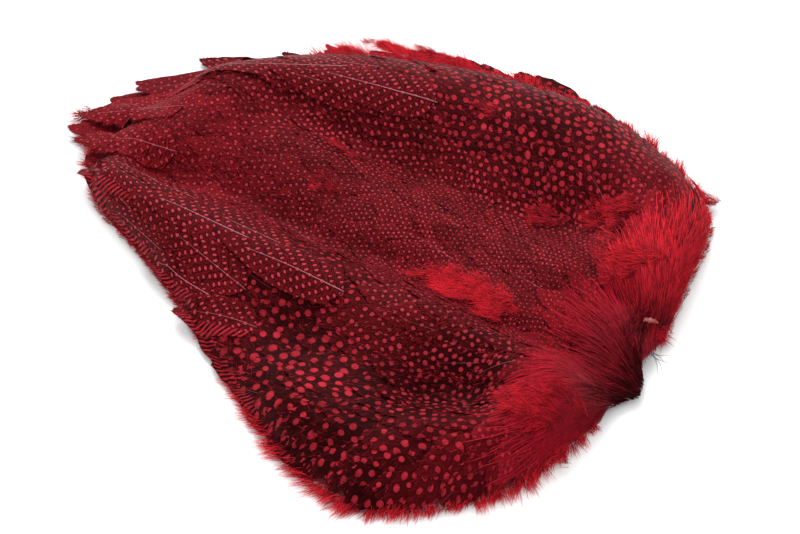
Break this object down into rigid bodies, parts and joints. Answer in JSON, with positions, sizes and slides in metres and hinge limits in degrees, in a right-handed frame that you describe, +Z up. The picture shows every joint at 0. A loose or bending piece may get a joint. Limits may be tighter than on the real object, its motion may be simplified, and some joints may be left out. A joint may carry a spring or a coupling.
{
  "type": "dyed guinea fowl skin with its feathers",
  "caption": "Whole dried guinea fowl skin with its plumage on, dyed red, with pale round spots, opened along the belly and laid flat with the back up.",
  "frame": {"origin": "centre of the overall box in plan, on the flat underside of the skin", "axes": "+X from the tail to the neck, +Y to the bird's left flank, +Z up out of the plumage"},
  "size_m": [0.3164, 0.2874, 0.0333],
  "materials": {
    "plumage": "soft overlapping contour feathers and down on a dried skin, dyed red, black between round red spots",
    "long_feather": "smooth close-webbed feather, near black, with rows of small red spots and a thin pale shaft"
  },
  "bodies": {
    "root": {"left_flank_feather_1": "long_feather", "left_flank_feather_2": "long_feather", "pelt": "plumage", "right_flank_feather_1": "long_feather", "right_flank_feather_2": "long_feather", "right_flank_feather_3": "long_feather", "right_flank_feather_4": "long_feather", "rump_feather_1": "long_feather", "rump_feather_2": "long_feather"}
  },
  "joints": []
}
